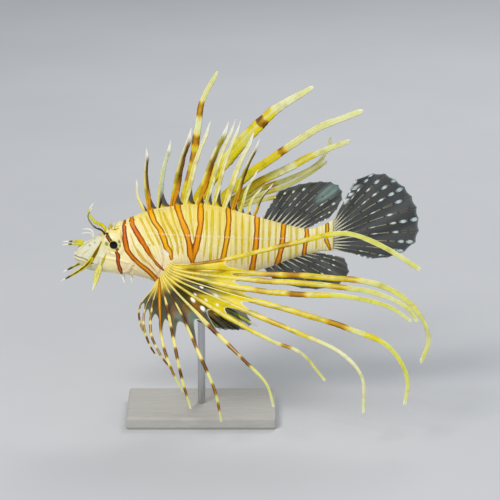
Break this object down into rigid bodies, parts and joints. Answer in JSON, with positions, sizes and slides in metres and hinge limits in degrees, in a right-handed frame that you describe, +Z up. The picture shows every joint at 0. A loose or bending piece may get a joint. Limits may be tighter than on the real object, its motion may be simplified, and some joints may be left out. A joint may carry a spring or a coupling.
{
  "type": "red lionfish museum model",
  "caption": "Life-size fish with long separate fin rays, spread side fins, banded skin and head feelers, on a flat base with one rod.",
  "frame": {"origin": "middle of the bottom of the bounding box, on the floor under the stand's base", "axes": "+X from snout to tail, +Y to the fish's right, +Z up"},
  "size_m": [0.2926, 0.202, 0.2706],
  "materials": {
    "skin": "satin, cream with red-brown and orange bars",
    "fin_ray": "satin, yellow and cream with brown bands",
    "clear_fin": "smoky and translucent with dark and white spots",
    "eye": "glossy",
    "base": "satin grey",
    "rod": "brushed"
  },
  "bodies": {
    "root": {"head": "skin", "lower_jaw": "skin", "torso": "skin", "tail_stem": "skin", "eye_left": "eye", "eye_right": "eye", "brow_tentacle_left": "fin_ray", "brow_tentacle_right": "fin_ray", "snout_barbel_left": "fin_ray", "snout_barbel_right": "fin_ray", "nasal_cirrus_left": "fin_ray", "nasal_cirrus_right": "fin_ray", "cheek_flap_front_left": "fin_ray", "cheek_flap_front_right": "fin_ray", "cheek_flap_rear_left": "fin_ray", "cheek_flap_rear_right": "fin_ray", "chin_barbel_front_left": "fin_ray", "chin_barbel_front_right": "fin_ray", "chin_barbel_rear_left": "fin_ray", "chin_barbel_rear_right": "fin_ray", "dorsal_fin_spiny": "fin_ray", "dorsal_fin_soft": "clear_fin", "caudal_fin": "clear_fin", "anal_fin": "clear_fin", "pelvic_fin_left": "clear_fin", "pelvic_fin_right": "clear_fin", "pectoral_fin_left_upper": "fin_ray", "pectoral_fin_left_lower": "fin_ray", "pectoral_fin_right_upper": "fin_ray", "pectoral_fin_right_lower": "fin_ray", "stand_base": "base", "stand_rod": "rod"}
  },
  "joints": []
}
